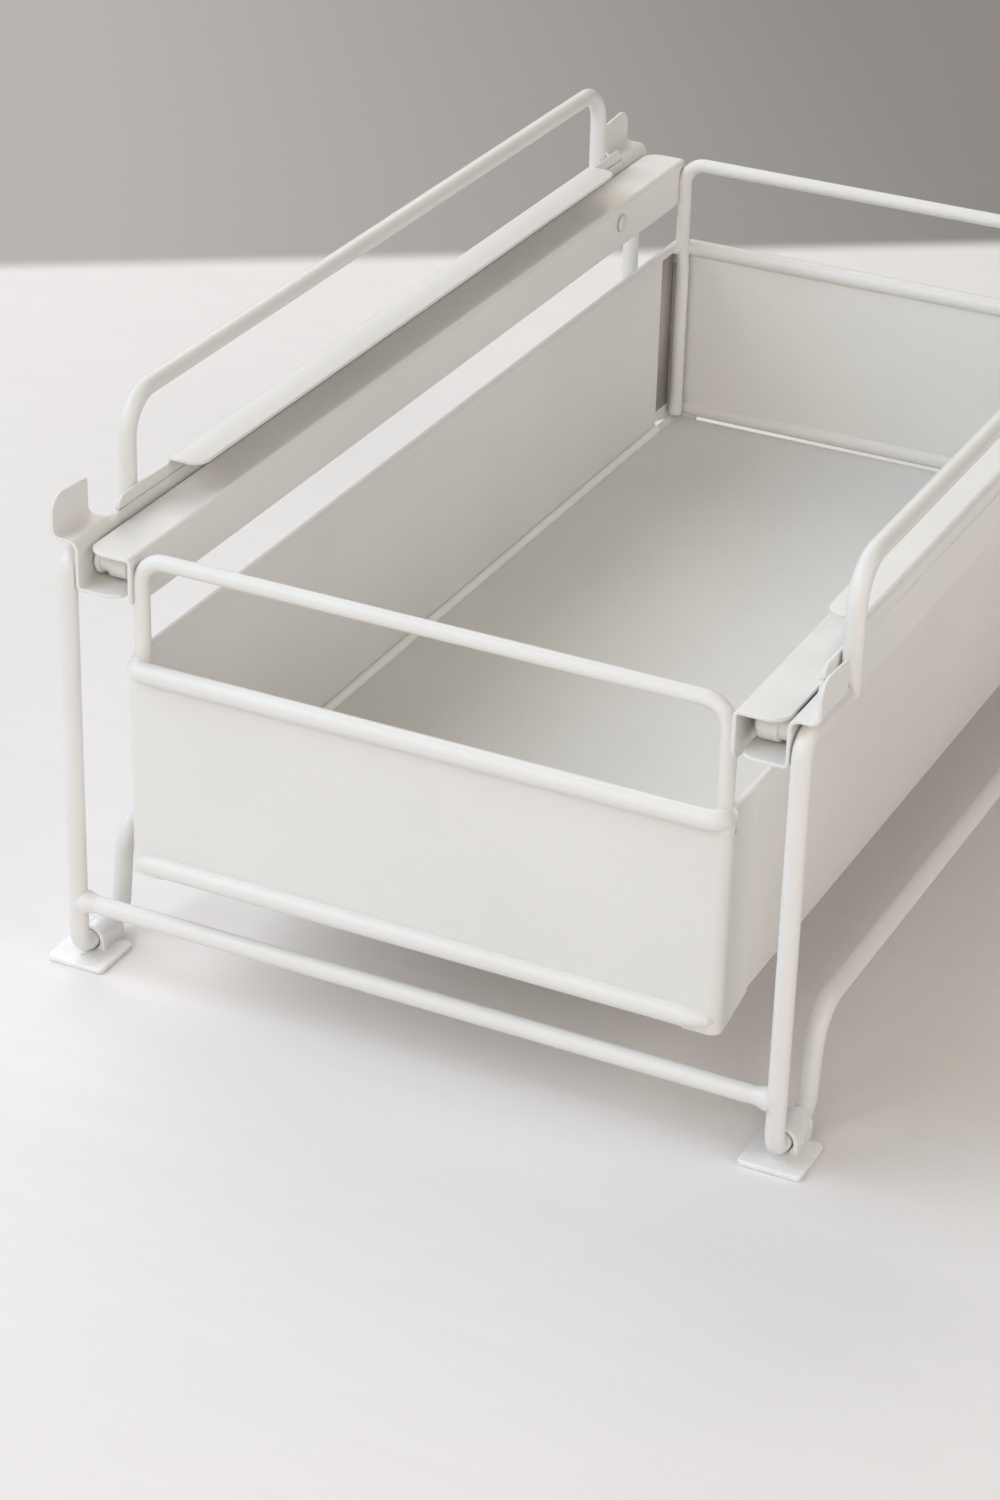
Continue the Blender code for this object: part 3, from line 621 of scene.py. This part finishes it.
def addTray():
    s = traySizes
    wall = s["outside"] - halfSheet
    hem = wall + shared["sheet"] + s["hemGap"]
    crown = s["top"] - halfSheet
    floor = s["floor"] + halfSheet
    hemFold = (hem - wall) / 2
    foot = s["top"] - s["hemHeight"]
    corners = [(-hem, foot), (-hem, crown), (-wall, crown), (-wall, floor),
               (wall, floor), (wall, crown), (hem, crown), (hem, foot)]
    steps = s["foldSteps"]
    section = bentPath(corners, [0, hemFold, hemFold, s["fold"], s["fold"], hemFold, hemFold, 0], steps)
    marks = lengthsAlong(section)
    total = marks[-1]
    wallReach = marks[2 * steps + 2] + s["slotDrop"]
    floorReach = marks[2 * steps + 3 + steps // 3]
    hemEnd = halfLength - s["hemSetback"]
    wallEnd = halfLength - s["sideSetback"]
    floorEnd = halfLength - s["floorSetback"]
    tabEnd = halfLength - s["tabSetback"]
    tabReach = marks[3 * steps + 3]
    tabStop = tabReach + s["tabWidth"]
    strip = [(hemEnd, 0)]
    slot = [(hemEnd, wallReach), (wallEnd, wallReach), (wallEnd, floorReach)]
    corner = [(floorEnd, floorReach), (floorEnd, tabReach), (tabEnd, tabReach), (tabEnd, tabStop),
              (floorEnd, tabStop)]
    rearHalf = strip + slot + corner
    frontHalf = strip + [(hemEnd, floorReach)] + corner
    outline = rearHalf + [(run, total - reach) for run, reach in reversed(rearHalf)]
    outline += [(-run, total - reach) for run, reach in frontHalf]
    outline += [(-run, reach) for run, reach in reversed(frontHalf)]

    def fold(run, reach):
        x, z = onPath(section, reach)
        return np.stack([x, run, z], axis=-1)

    # beads in the floor's folds, their pale coat a painted highlight
    for side, name in hands:
        x = side * (wall - halfSheet - s["seamIn"])
        z = floor + halfSheet + s["seamUp"]
        path = [(x, y, z) for y in (-s["seamHalf"], 0, s["seamHalf"])]
        addWire(name + "FloorSeamHighlight", path, [0, 0, 0], s["seamHighlight"], (0, 0, 1), "drawer", [], s["seamEdge"],
                seamHighlightCoat)
    # painted shade: a dark sheet behind each rear slot
    for side, name in hands:
        addSlotShade(name + "RearRecess", side)
    return addSheet("trayShell", outline, marks[1:-1], fold, "drawer", ["drawer_tray"], s["edge"])


def addSlotShade(name, side):
    # painted shade: a dark sheet on the panel's return, standing in for the shadow seen through the slot in
    # the tray's rear corner
    s = traySizes
    corners = np.array([(x, y, z) for x in s["slotShadeOut"] for y in s["slotShadeBack"] for z in s["slotShadeHigh"]])
    corners[:, 1] = halfLength - corners[:, 1]
    corners[:, 0] *= side
    faces = [(0, 1, 3, 2), (4, 6, 7, 5), (0, 4, 5, 1), (2, 3, 7, 6), (0, 2, 6, 4), (1, 5, 7, 3)]
    piece = addPiece(name, corners.tolist(), faces, "drawer", [])
    piece.data.materials[0] = slotShadeCoat
    fixNormals(piece)
    return piece


panelSizes = {
    "setback": 0.0006, "top": 0.0905, "foot": 0.0365, "fold": 0.0025, "foldTop": 0.0901,
    "tabFoot": 0.0322, "tabWidth": 0.0065, "tabSlope": 0.002, "tabCorner": 0.0015,
    "returnLength": 0.0185, "footRise": 0.0035, "foldSteps": 9, "cornerSteps": 6,
}


def addPanel(name, end, node):
    s = panelSizes
    face = s["setback"] + halfSheet
    edge = traySizes["outside"] + shared["gap"] + halfSheet
    steps = s["foldSteps"]
    section = bentPath([(-edge, s["returnLength"]), (-edge, face), (edge, face), (edge, s["returnLength"])],
                       [0, s["fold"], s["fold"], 0], steps)
    marks = lengthsAlong(section)
    total = marks[-1]
    start = marks[steps + 1]
    cheek = traySizes["top"] - traySizes["hemHeight"] - shared["gap"]
    foot, tabFoot, top, r = s["foot"], s["tabFoot"], s["top"], s["tabCorner"]
    half = [(top, start), (s["foldTop"], start), (s["foldTop"], marks[1]), (cheek, marks[1]), (cheek, 0),
            (tabFoot + s["footRise"], 0), (tabFoot, marks[1]), (tabFoot, start + s["tabWidth"]),
            (foot, start + s["tabWidth"] + s["tabSlope"])]
    radii = [0, 0, 0, 0, r, r, 0, r, 0]
    otherHalf = [(height, total - reach) for height, reach in reversed(half)]
    outline = bentPath(half + otherHalf, radii + radii[::-1], s["cornerSteps"], True)

    def fold(height, reach):
        x, back = onPath(section, reach)
        return np.stack([x, end * (halfLength - back), height], axis=-1)

    return addSheet(name, outline, marks[1:-1], fold, "drawer", [node])


hoopSizes = {
    "side": 0.0780, "setback": 0.0054, "height": 0.1205, "foot": 0.0350, "bend": 0.0067,
    "out": 0.0009, "ahead": 0.0011,                            # the legs step out at the rim
    "jogLow": 0.0868, "jogHigh": 0.0915, "jogBend": 0.004,
}


def addHoop(name, end, node):
    s = hoopSizes
    low, high = s["side"], s["side"] + s["out"]
    y = end * (halfLength - s["setback"])
    outerY = end * (halfLength - s["setback"] + s["ahead"])
    right = [(high, outerY, s["height"]), (high, outerY, s["jogHigh"]),
             (low, y, s["jogLow"]), (low, y, s["foot"])]
    radii = [s["bend"], s["jogBend"], s["jogBend"], 0]
    left = [(-place[0], place[1], place[2]) for place in reversed(right)]
    return addWire(name, left + right, radii[::-1] + radii, shared["handleWire"], (0, end, 0), "drawer",
                   [node])


edgeWireSizes = {
    "setback": 0.0003, "radius": 0.0027, "rimHeight": 0.0911, "lowHeight": 0.0362,
    "rimHalf": 0.0789, "rimBend": 0.0028,                      # the rim turns back and dives into the hems
    "rimEnd": (0.0810, 0.0085, 0.0920), "rimEndBend": 0.004, "rimDive": 0.3,
    "rimTip": 0.0011, "rimTaper": 0.0065, "rimEdge": 0.0006,
    "bead": 0.0011, "beadPlace": 0.0040, "beadHeights": (0.0866, 0.0890, 0.0915),
    "foldX": 0.0790, "foldSetback": 0.0036, "lowSweep": 45,    # degrees that the low bar turns with the fold
    "lowTip": 0.0006, "lowSink": 0.0010, "lowTaper": 0.006, "lowRings": 25, "lowEdge": 0.0005,
}


def addRimBar(name, end, node):
    s = edgeWireSizes
    tipX, tipBack, tipZ = s["rimEnd"]
    half, height = s["rimHalf"], s["rimHeight"]
    front, back = end * (halfLength - s["setback"]), end * (halfLength - tipBack)
    middleX, middleY = (tipX + half) / 2, (back + front) / 2
    middleZ = height + (tipZ - height) * s["rimDive"]
    right = [(half, front, height), (middleX, middleY, middleZ), (tipX, back, tipZ)]
    left = [(-place[0], place[1], place[2]) for place in reversed(right)]
    path = bentPath(left + right, [0, s["rimEndBend"], s["rimBend"], s["rimBend"], s["rimEndBend"], 0])
    along = lengthsAlong(path)
    near = np.clip(np.minimum(along, along[-1] - along) / s["rimTaper"], 0, 1)
    radius = s["rimTip"] + (s["radius"] - s["rimTip"]) * (1 - np.cos(math.pi * near)) / 2
    rings = wireRings(path, (0, 0, 1), radius, shared["sides"], s["rimEdge"])
    return addPiece(name, *closeEnds(rings), "drawer", [node])


def addHemBeads(name, end):
    # the coating that fills the hems' open ends
    s = edgeWireSizes
    y = end * (halfLength - s["beadPlace"])
    for side, hand in hands:
        path = [(side * s["rimEnd"][0], y, z) for z in s["beadHeights"]]
        addWire(name + hand.capitalize() + "HemBead", path, [0, 0, 0], s["bead"], (side, 0, 0), "drawer", [])


def addLowBar(name, end, node):
    # each end turns with the panel's fold: x = foldX + reach(t) * sin(t), and dies away into it as reach
    # and radius shrink
    s = edgeWireSizes
    share = np.linspace(0, 1, s["lowRings"])
    turn = np.radians(s["lowSweep"]) * np.clip(share * 2 - 1, 0, 1)
    ease = (1 - np.cos(math.pi * share)) / 2
    reach = s["foldSetback"] - s["setback"] - s["lowSink"] * ease
    radius = s["radius"] + (s["lowTip"] - s["radius"]) * ease
    x = s["foldX"] + reach * np.sin(turn) - s["lowTaper"] * np.clip(1 - share * 2, 0, 1)
    y = end * (halfLength - s["foldSetback"] + reach * np.cos(turn))
    right = np.stack([x, y, np.full(len(share), s["lowHeight"])], axis=-1)
    return addMirroredBar(name, right, radius, s["lowEdge"], "drawer", node)


hangerSizes = {
    "inside": 0.0804, "top": 0.1205, "foot": 0.1068, "edge": 0.0933, "setback": 0.0015, "fold": 0.001,
    "corner": 0.005, "footCorner": 0.004, "foldSteps": 7, "cornerSteps": 10,
}


def addHanger(name, side):
    s = hangerSizes
    web = s["inside"] + halfSheet
    top = s["top"] - halfSheet
    section = bentPath([(web, s["foot"]), (web, top), (s["edge"], top)], [0, s["fold"], 0], s["foldSteps"])
    marks = lengthsAlong(section)
    end = halfLength - s["setback"]
    outline = bentPath([(end, 0), (end, marks[-1]), (-end, marks[-1]), (-end, 0)],
                       [s["footCorner"], s["corner"], s["corner"], s["footCorner"]], s["cornerSteps"], True)

    def fold(run, reach):
        x, z = onPath(section, reach)
        return np.stack([side * x, run, z], axis=-1)

    return addSheet(name + "HangerAngle", outline, marks[1:-1], fold, "drawer", [name + "_hanger"])


addTray()
for end, name in ((-1, "front"), (1, "back")):
    addPanel(name + "PanelSheet", end, name + "_panel")
    addHoop(name + "HandleHoop", end, name + "_hoop")
    addRimBar(name + "RimBar", end, name + "_rim_wire")
    addHemBeads(name, end)
    addLowBar(name + "LowBar", end, name + "_bottom_wire")
for side, name in hands:
    addHanger(name, side)
print("drawer folded")


# rollers and rivets
def turnedGrid(profile):
    # point = (reach, radius * cos v, radius * sin v), turned about X
    sides = meshing["turnedSides"]
    around = np.linspace(0, 2 * math.pi, sides, endpoint=False)
    return np.stack([np.repeat(profile[:, :1], sides, 1), profile[:, 1:] * np.cos(around),
                     profile[:, 1:] * np.sin(around)], axis=-1)


def addTurned(name, profile, place, side, body, nodes, slot, closed=False):
    grid = turnedGrid(profile) * np.array([side, 1, 1]) + np.array(place)
    rows, columns = grid.shape[:2]
    if closed:
        verts = grid.reshape(-1, 3).tolist()
        faces = gridFaces(rows, columns)
        ring = np.arange(columns)
        turned = (ring + 1) % columns
        last = (rows - 1) * columns
        faces += np.stack([ring + last, turned + last, turned, ring], axis=-1).tolist()
    else:
        verts, faces = closeEnds(grid)
    piece = addPiece(name, verts, faces, body, nodes, slot)
    fixNormals(piece)
    piece.data.set_sharp_from_angle(angle=math.radians(meshing["sharpAngle"]))
    return piece


rollerSizes = {
    "radius": 0.0042, "bore": 0.0017, "boreEdge": 0.0001, "round": 0.0006, "roundSteps": 6,
    "hub": 0.0029, "hubEdge": (0.0001, 0.0002), "dish": 0.00035, "dishEdge": (0.0004, 0.0001),
    "collar": 0.0016, "collarDrop": 0.0002, "collarShape": 0.6, "collarSteps": 9,
    "neck": 0.0034, "neckWidth": 0.0022, "treadEdge": (0.0004, 0.0006),
}


def rollerProfile(width):
    # half section from one bore edge over the tread to the other: a collar, a neck and then the tread
    s = rollerSizes
    half, radius, bore, neck = width / 2, s["radius"], s["bore"], s["neck"]
    boreStart = [(half - s["boreEdge"], bore), (half, bore + s["boreEdge"])]
    turn = np.linspace(0, math.pi / 2, s["roundSteps"])
    foot = radius - s["round"]
    shoulder = np.stack([half - s["round"] + s["round"] * np.cos(turn), foot + s["round"] * np.sin(turn)], -1)
    dished = half - s["dish"]
    face = [(half, s["hub"] - s["hubEdge"][0]), (dished, s["hub"] + s["hubEdge"][1]),
            (dished, foot - s["dishEdge"][0]), (half, foot - s["dishEdge"][1])]
    inner = np.concatenate([boreStart, face, shoulder])[::-1] * np.array([-1, 1])
    wave = np.linspace(0, math.pi, s["collarSteps"])
    swell = (radius - s["collarDrop"] - neck) * np.sin(wave) ** s["collarShape"]
    collar = np.stack([half - s["collar"] * (1 - np.cos(wave)) / 2, neck + swell], -1)
    start = half - s["collar"] - s["neckWidth"]
    wide, tall = s["treadEdge"]
    rise = np.stack([start - wide * np.sin(turn), radius - tall + tall * (1 - np.cos(turn))], -1)
    return np.concatenate([boreStart, collar, [(start, neck)], rise, inner])


pinSizes = {
    "radius": 0.0015, "head": 0.00275, "thick": 0.0008, "middle": 0.12, "steps": 12,
    "curve": 0.92, "dome": 0.86, "rim": 0.14, "dimple": 0.35, "dimpleWidth": 0.18,   # shares of the head
    "tipHole": (0.0004, 0.0006), "tipEdge": 0.0002,
}


def headProfile(out):
    # a domed rivet head with a small dimple, from its middle to its rim and back to the shank
    s = pinSizes
    share = np.linspace(s["middle"], 1, s["steps"])
    dome = s["thick"] * np.sqrt(1 - (share * s["curve"]) ** 2) * s["dome"] + s["thick"] * s["rim"]
    dome -= s["thick"] * s["dimple"] * np.exp(-((share - s["middle"]) / s["dimpleWidth"]) ** 2)
    crown = np.stack([out + dome, s["head"] * share], -1)
    return np.concatenate([crown, [(out, s["head"]), (out, s["radius"])]])


def tipProfile(out):
    # the shank's flush outer end
    s = pinSizes
    low, high = s["tipHole"]
    return np.array([(out - s["tipEdge"], low), (out, high), (out, s["radius"] - s["tipEdge"]),
                     (out - s["tipEdge"], s["radius"])])


# the front rollers turn on the rails' pins, the rear ones on the hangers' pins
rollerPlaces = {
    "front": {"width": 0.0095, "inner": 0.0845, "place": (-0.1598, 0.1150), "pin": (0.0842, 0.0955),
              "holder": "frame", "outerEnd": tipProfile},
    "rear": {"width": 0.0080, "inner": 0.0819, "place": (0.1200, 0.1148), "pin": (0.0801, 0.0902),
             "holder": "drawer", "outerEnd": headProfile},
}


def addRollerAndPin(name, side, kind):
    s = rollerPlaces[kind]
    y, z = s["place"]
    label = name + kind.capitalize()
    node = name + "_" + kind
    body = kind + "_roller_" + name[0]
    addTurned(label + "Roller", rollerProfile(s["width"]), (side * (s["inner"] + s["width"] / 2), y, z), side,
              body, [node + "_roller"], "roller_nylon", True)
    low, high = s["pin"]
    half = (high - low) / 2
    innerHead = headProfile(half) * np.array([-1, 1])
    profile = np.concatenate([s["outerEnd"](half), innerHead[::-1]])
    addTurned(label + "Rivet", profile, (side * (low + high) / 2, y, z), side, s["holder"], [node + "_pin"],
              "pin_steel")


for side, name in hands:
    for kind in rollerPlaces:
        addRollerAndPin(name, side, kind)
print("rollers turned")


# feet
footSizes = {
    "half": 0.00825, "plate": 0.0016, "corner": 0.0015, "cornerSteps": 6, "plateSetback": 0.00575,
    "sleeveSetback": 0.01125, "sleeveHalf": 0.00525, "bore": 0.0029, "wall": 0.0011, "wireHeight": 0.0044,
    "crownSteps": 24, "boreHalf": 0.009, "boreSides": 48, "boreEdge": 0.0001,
    "edge": 0.0003, "edgeSteps": 3, "edgeAngle": 45,
}


def plainShape(name, verts, faces):
    mesh = bpy.data.meshes.new(name)
    mesh.from_pydata(verts, [], faces)
    shape = bpy.data.objects.new(name, mesh)
    scene.collection.objects.link(shape)
    fixNormals(shape)
    return shape


def addFoot(name, side, end, node):
    # the plate joined with the sleeve, and the wire's bore cut through both
    s = footSizes
    x = side * wireSide
    plateY = end * (halfLength - s["plateSetback"])
    sleeveY = end * (halfLength - s["sleeveSetback"])
    h, z = s["half"], s["wireHeight"]
    outline = bentPath([(-h, -h), (h, -h), (h, h), (-h, h)], [s["corner"]] * 4, s["cornerSteps"], True)
    outline += np.array([x, plateY])
    plate = np.stack([np.column_stack([outline, np.full(len(outline), height)])
                      for height in (s["plate"], 0)])
    outer = s["bore"] + s["wall"]
    turn = np.linspace(0, math.pi, s["crownSteps"] + 1)
    crown = np.stack([outer * np.cos(turn), z + outer * np.sin(turn)], -1)
    loop = np.concatenate([[(outer, s["plate"] / 2)], crown, [(-outer, s["plate"] / 2)]])
    sleeve = np.stack([np.column_stack([x + loop[:, 0], np.full(len(loop), sleeveY + y), loop[:, 1]])
                       for y in (-s["sleeveHalf"], s["sleeveHalf"])])
    path = np.array([(x, sleeveY + y, z) for y in (-s["boreHalf"], 0, s["boreHalf"])])
    bore = wireRings(path, (1, 0, 0), s["bore"], s["boreSides"], s["boreEdge"])
    piece = plainShape(name, *closeEnds(plate))
    helpers = [plainShape("sleeve", *closeEnds(sleeve)), plainShape("bore", *closeEnds(bore))]
    for helper, operation in zip(helpers, ("UNION", "DIFFERENCE")):
        join = piece.modifiers.new(operation.lower(), "BOOLEAN")
        join.operation = operation
        join.object = helper
    bpy.context.view_layer.update()
    whole = bpy.data.meshes.new_from_object(piece.evaluated_get(bpy.context.evaluated_depsgraph_get()))
    piece.modifiers.clear()
    piece.data = whole
    for helper in helpers:
        bpy.data.objects.remove(helper, do_unlink=True)
    whole.shade_smooth()
    roundEdges(piece, s["edge"], s["edgeSteps"], s["edgeAngle"])
    return dress(piece, "frame", [node], "foot_plastic")


for side, name in hands:
    for end, place in ((-1, "front"), (1, "rear")):
        addFoot(place + name.capitalize() + "FootPad", side, end, place + "_" + name + "_foot")
print("feet made")


# floor and light
floorSizes = {
    "edge": ((-0.39212, 0.23973), (-0.06735, 0.45669)),   # two points on the table's far edge
    "reach": 4.0, "soft": 0.008, "roughness": 0.6,
    "table": ((0.850, 0.822, 0.805), (0.832, 0.802, 0.786)),
    "grain": {"scale": 9, "detail": 4, "roughness": 0.6, "stretch": (1.2, 14, 1)},
    "beyond": ((0.430, 0.408, 0.389), (0.256, 0.240, 0.229)), "fade": (-0.15, 0.20),   # darker to the right
}


def distanceNode(nodes, links, source, direction):
    # how far a place lies along the direction
    away = nodes.new("ShaderNodeVectorMath")
    away.operation = "DOT_PRODUCT"
    away.inputs[1].default_value = direction
    links.new(source, away.inputs[0])
    return away.outputs["Value"]


def rangeNode(nodes, links, source, low, high):
    # 0 below low and 1 above high
    step = nodes.new("ShaderNodeMapRange")
    step.inputs["From Min"].default_value = low
    step.inputs["From Max"].default_value = high
    links.new(source, step.inputs["Value"])
    return step


def addFloor():
    s = floorSizes
    reach = s["reach"]
    corners = [(-reach, -reach, 0), (reach, -reach, 0), (reach, reach, 0), (-reach, reach, 0)]
    mesh = bpy.data.meshes.new("floor")
    mesh.from_pydata(corners, [], [(0, 1, 2, 3)])
    floor = bpy.data.objects.new("floor", mesh)
    scene.collection.objects.link(floor)
    material, nodes, links, shader = nodeHelper("paleTable")
    (ax, ay), (bx, by) = s["edge"]
    length = math.hypot(bx - ax, by - ay)
    alongX, alongY = (bx - ax) / length, (by - ay) / length
    place = nodes.new("ShaderNodeTexCoord").outputs["Object"]
    away = distanceNode(nodes, links, place, (-alongY, alongX, 0))
    middle = alongX * ay - alongY * ax
    step = rangeNode(nodes, links, away, middle - s["soft"], middle + s["soft"])
    step.interpolation_type = "SMOOTHSTEP"
    fade = rangeNode(nodes, links, distanceNode(nodes, links, place, (alongX, alongY, 0)), *s["fade"])
    g = s["grain"]
    grain = noiseNode(nodes, links, g["scale"], g["detail"], g["roughness"], g["stretch"])
    share = spread(nodes, links, grain.outputs["Fac"], 0, 1)
    mix = nodes.new("ShaderNodeMix")
    mix.data_type = "RGBA"
    links.new(step.outputs["Result"], mix.inputs["Factor"])
    links.new(blendColours(nodes, links, share, *s["table"]), mix.inputs[6])
    links.new(blendColours(nodes, links, fade.outputs["Result"], *s["beyond"]), mix.inputs[7])
    links.new(mix.outputs[2], shader.inputs["Base Color"])
    shader.inputs["Roughness"].default_value = s["roughness"]
    mesh.materials.append(material)


sky = {"colour": (1.0, 0.96, 0.92), "strength": 0.02}
lightAim = (0, 0, 0.06)
lights = {
    "window": {"place": (-1.6, -0.9, 1.7), "size": 2.2, "power": 46.0, "colour": (0.752, 0.860, 0.990)},
    "warmLeft": {"place": (-1.3, 1.5, 1.7), "size": 2.4, "power": 31.5, "colour": (1.0, 0.920, 0.875)},
    "front": {"place": (0.3, -2.2, 1.2), "size": 2.0, "power": 24.2, "colour": (1.0, 0.938, 0.840)},
    "right": {"place": (2.1, -0.5, 1.2), "size": 2.2, "power": 26.0, "colour": (1.0, 0.935, 0.918)},
    "back": {"place": (0.3, 2.2, 1.5), "size": 2.4, "power": 5.6, "colour": (1.0, 0.977, 0.50)},
}


def addLights():
    world = bpy.data.worlds.new("studio")
    world.use_nodes = True
    background = world.node_tree.nodes["Background"]
    background.inputs["Color"].default_value = (*sky["colour"], 1)
    background.inputs["Strength"].default_value = sky["strength"]
    scene.world = world
    for name, s in lights.items():
        data = bpy.data.lights.new(name, "AREA")
        data.shape = "DISK"
        data.size = s["size"]
        data.energy = s["power"]
        data.color = s["colour"]
        lamp = bpy.data.objects.new(name, data)
        scene.collection.objects.link(lamp)
        place = np.array(s["place"])
        ahead = lightAim - place
        ahead /= np.linalg.norm(ahead)
        across = np.cross(ahead, (0, 0, 1))
        across /= np.linalg.norm(across)
        lamp.matrix_world = standing(across, np.cross(across, ahead), ahead, place)


addFloor()
addLights()
scene.view_settings.view_transform = "Standard"
print("stage set")
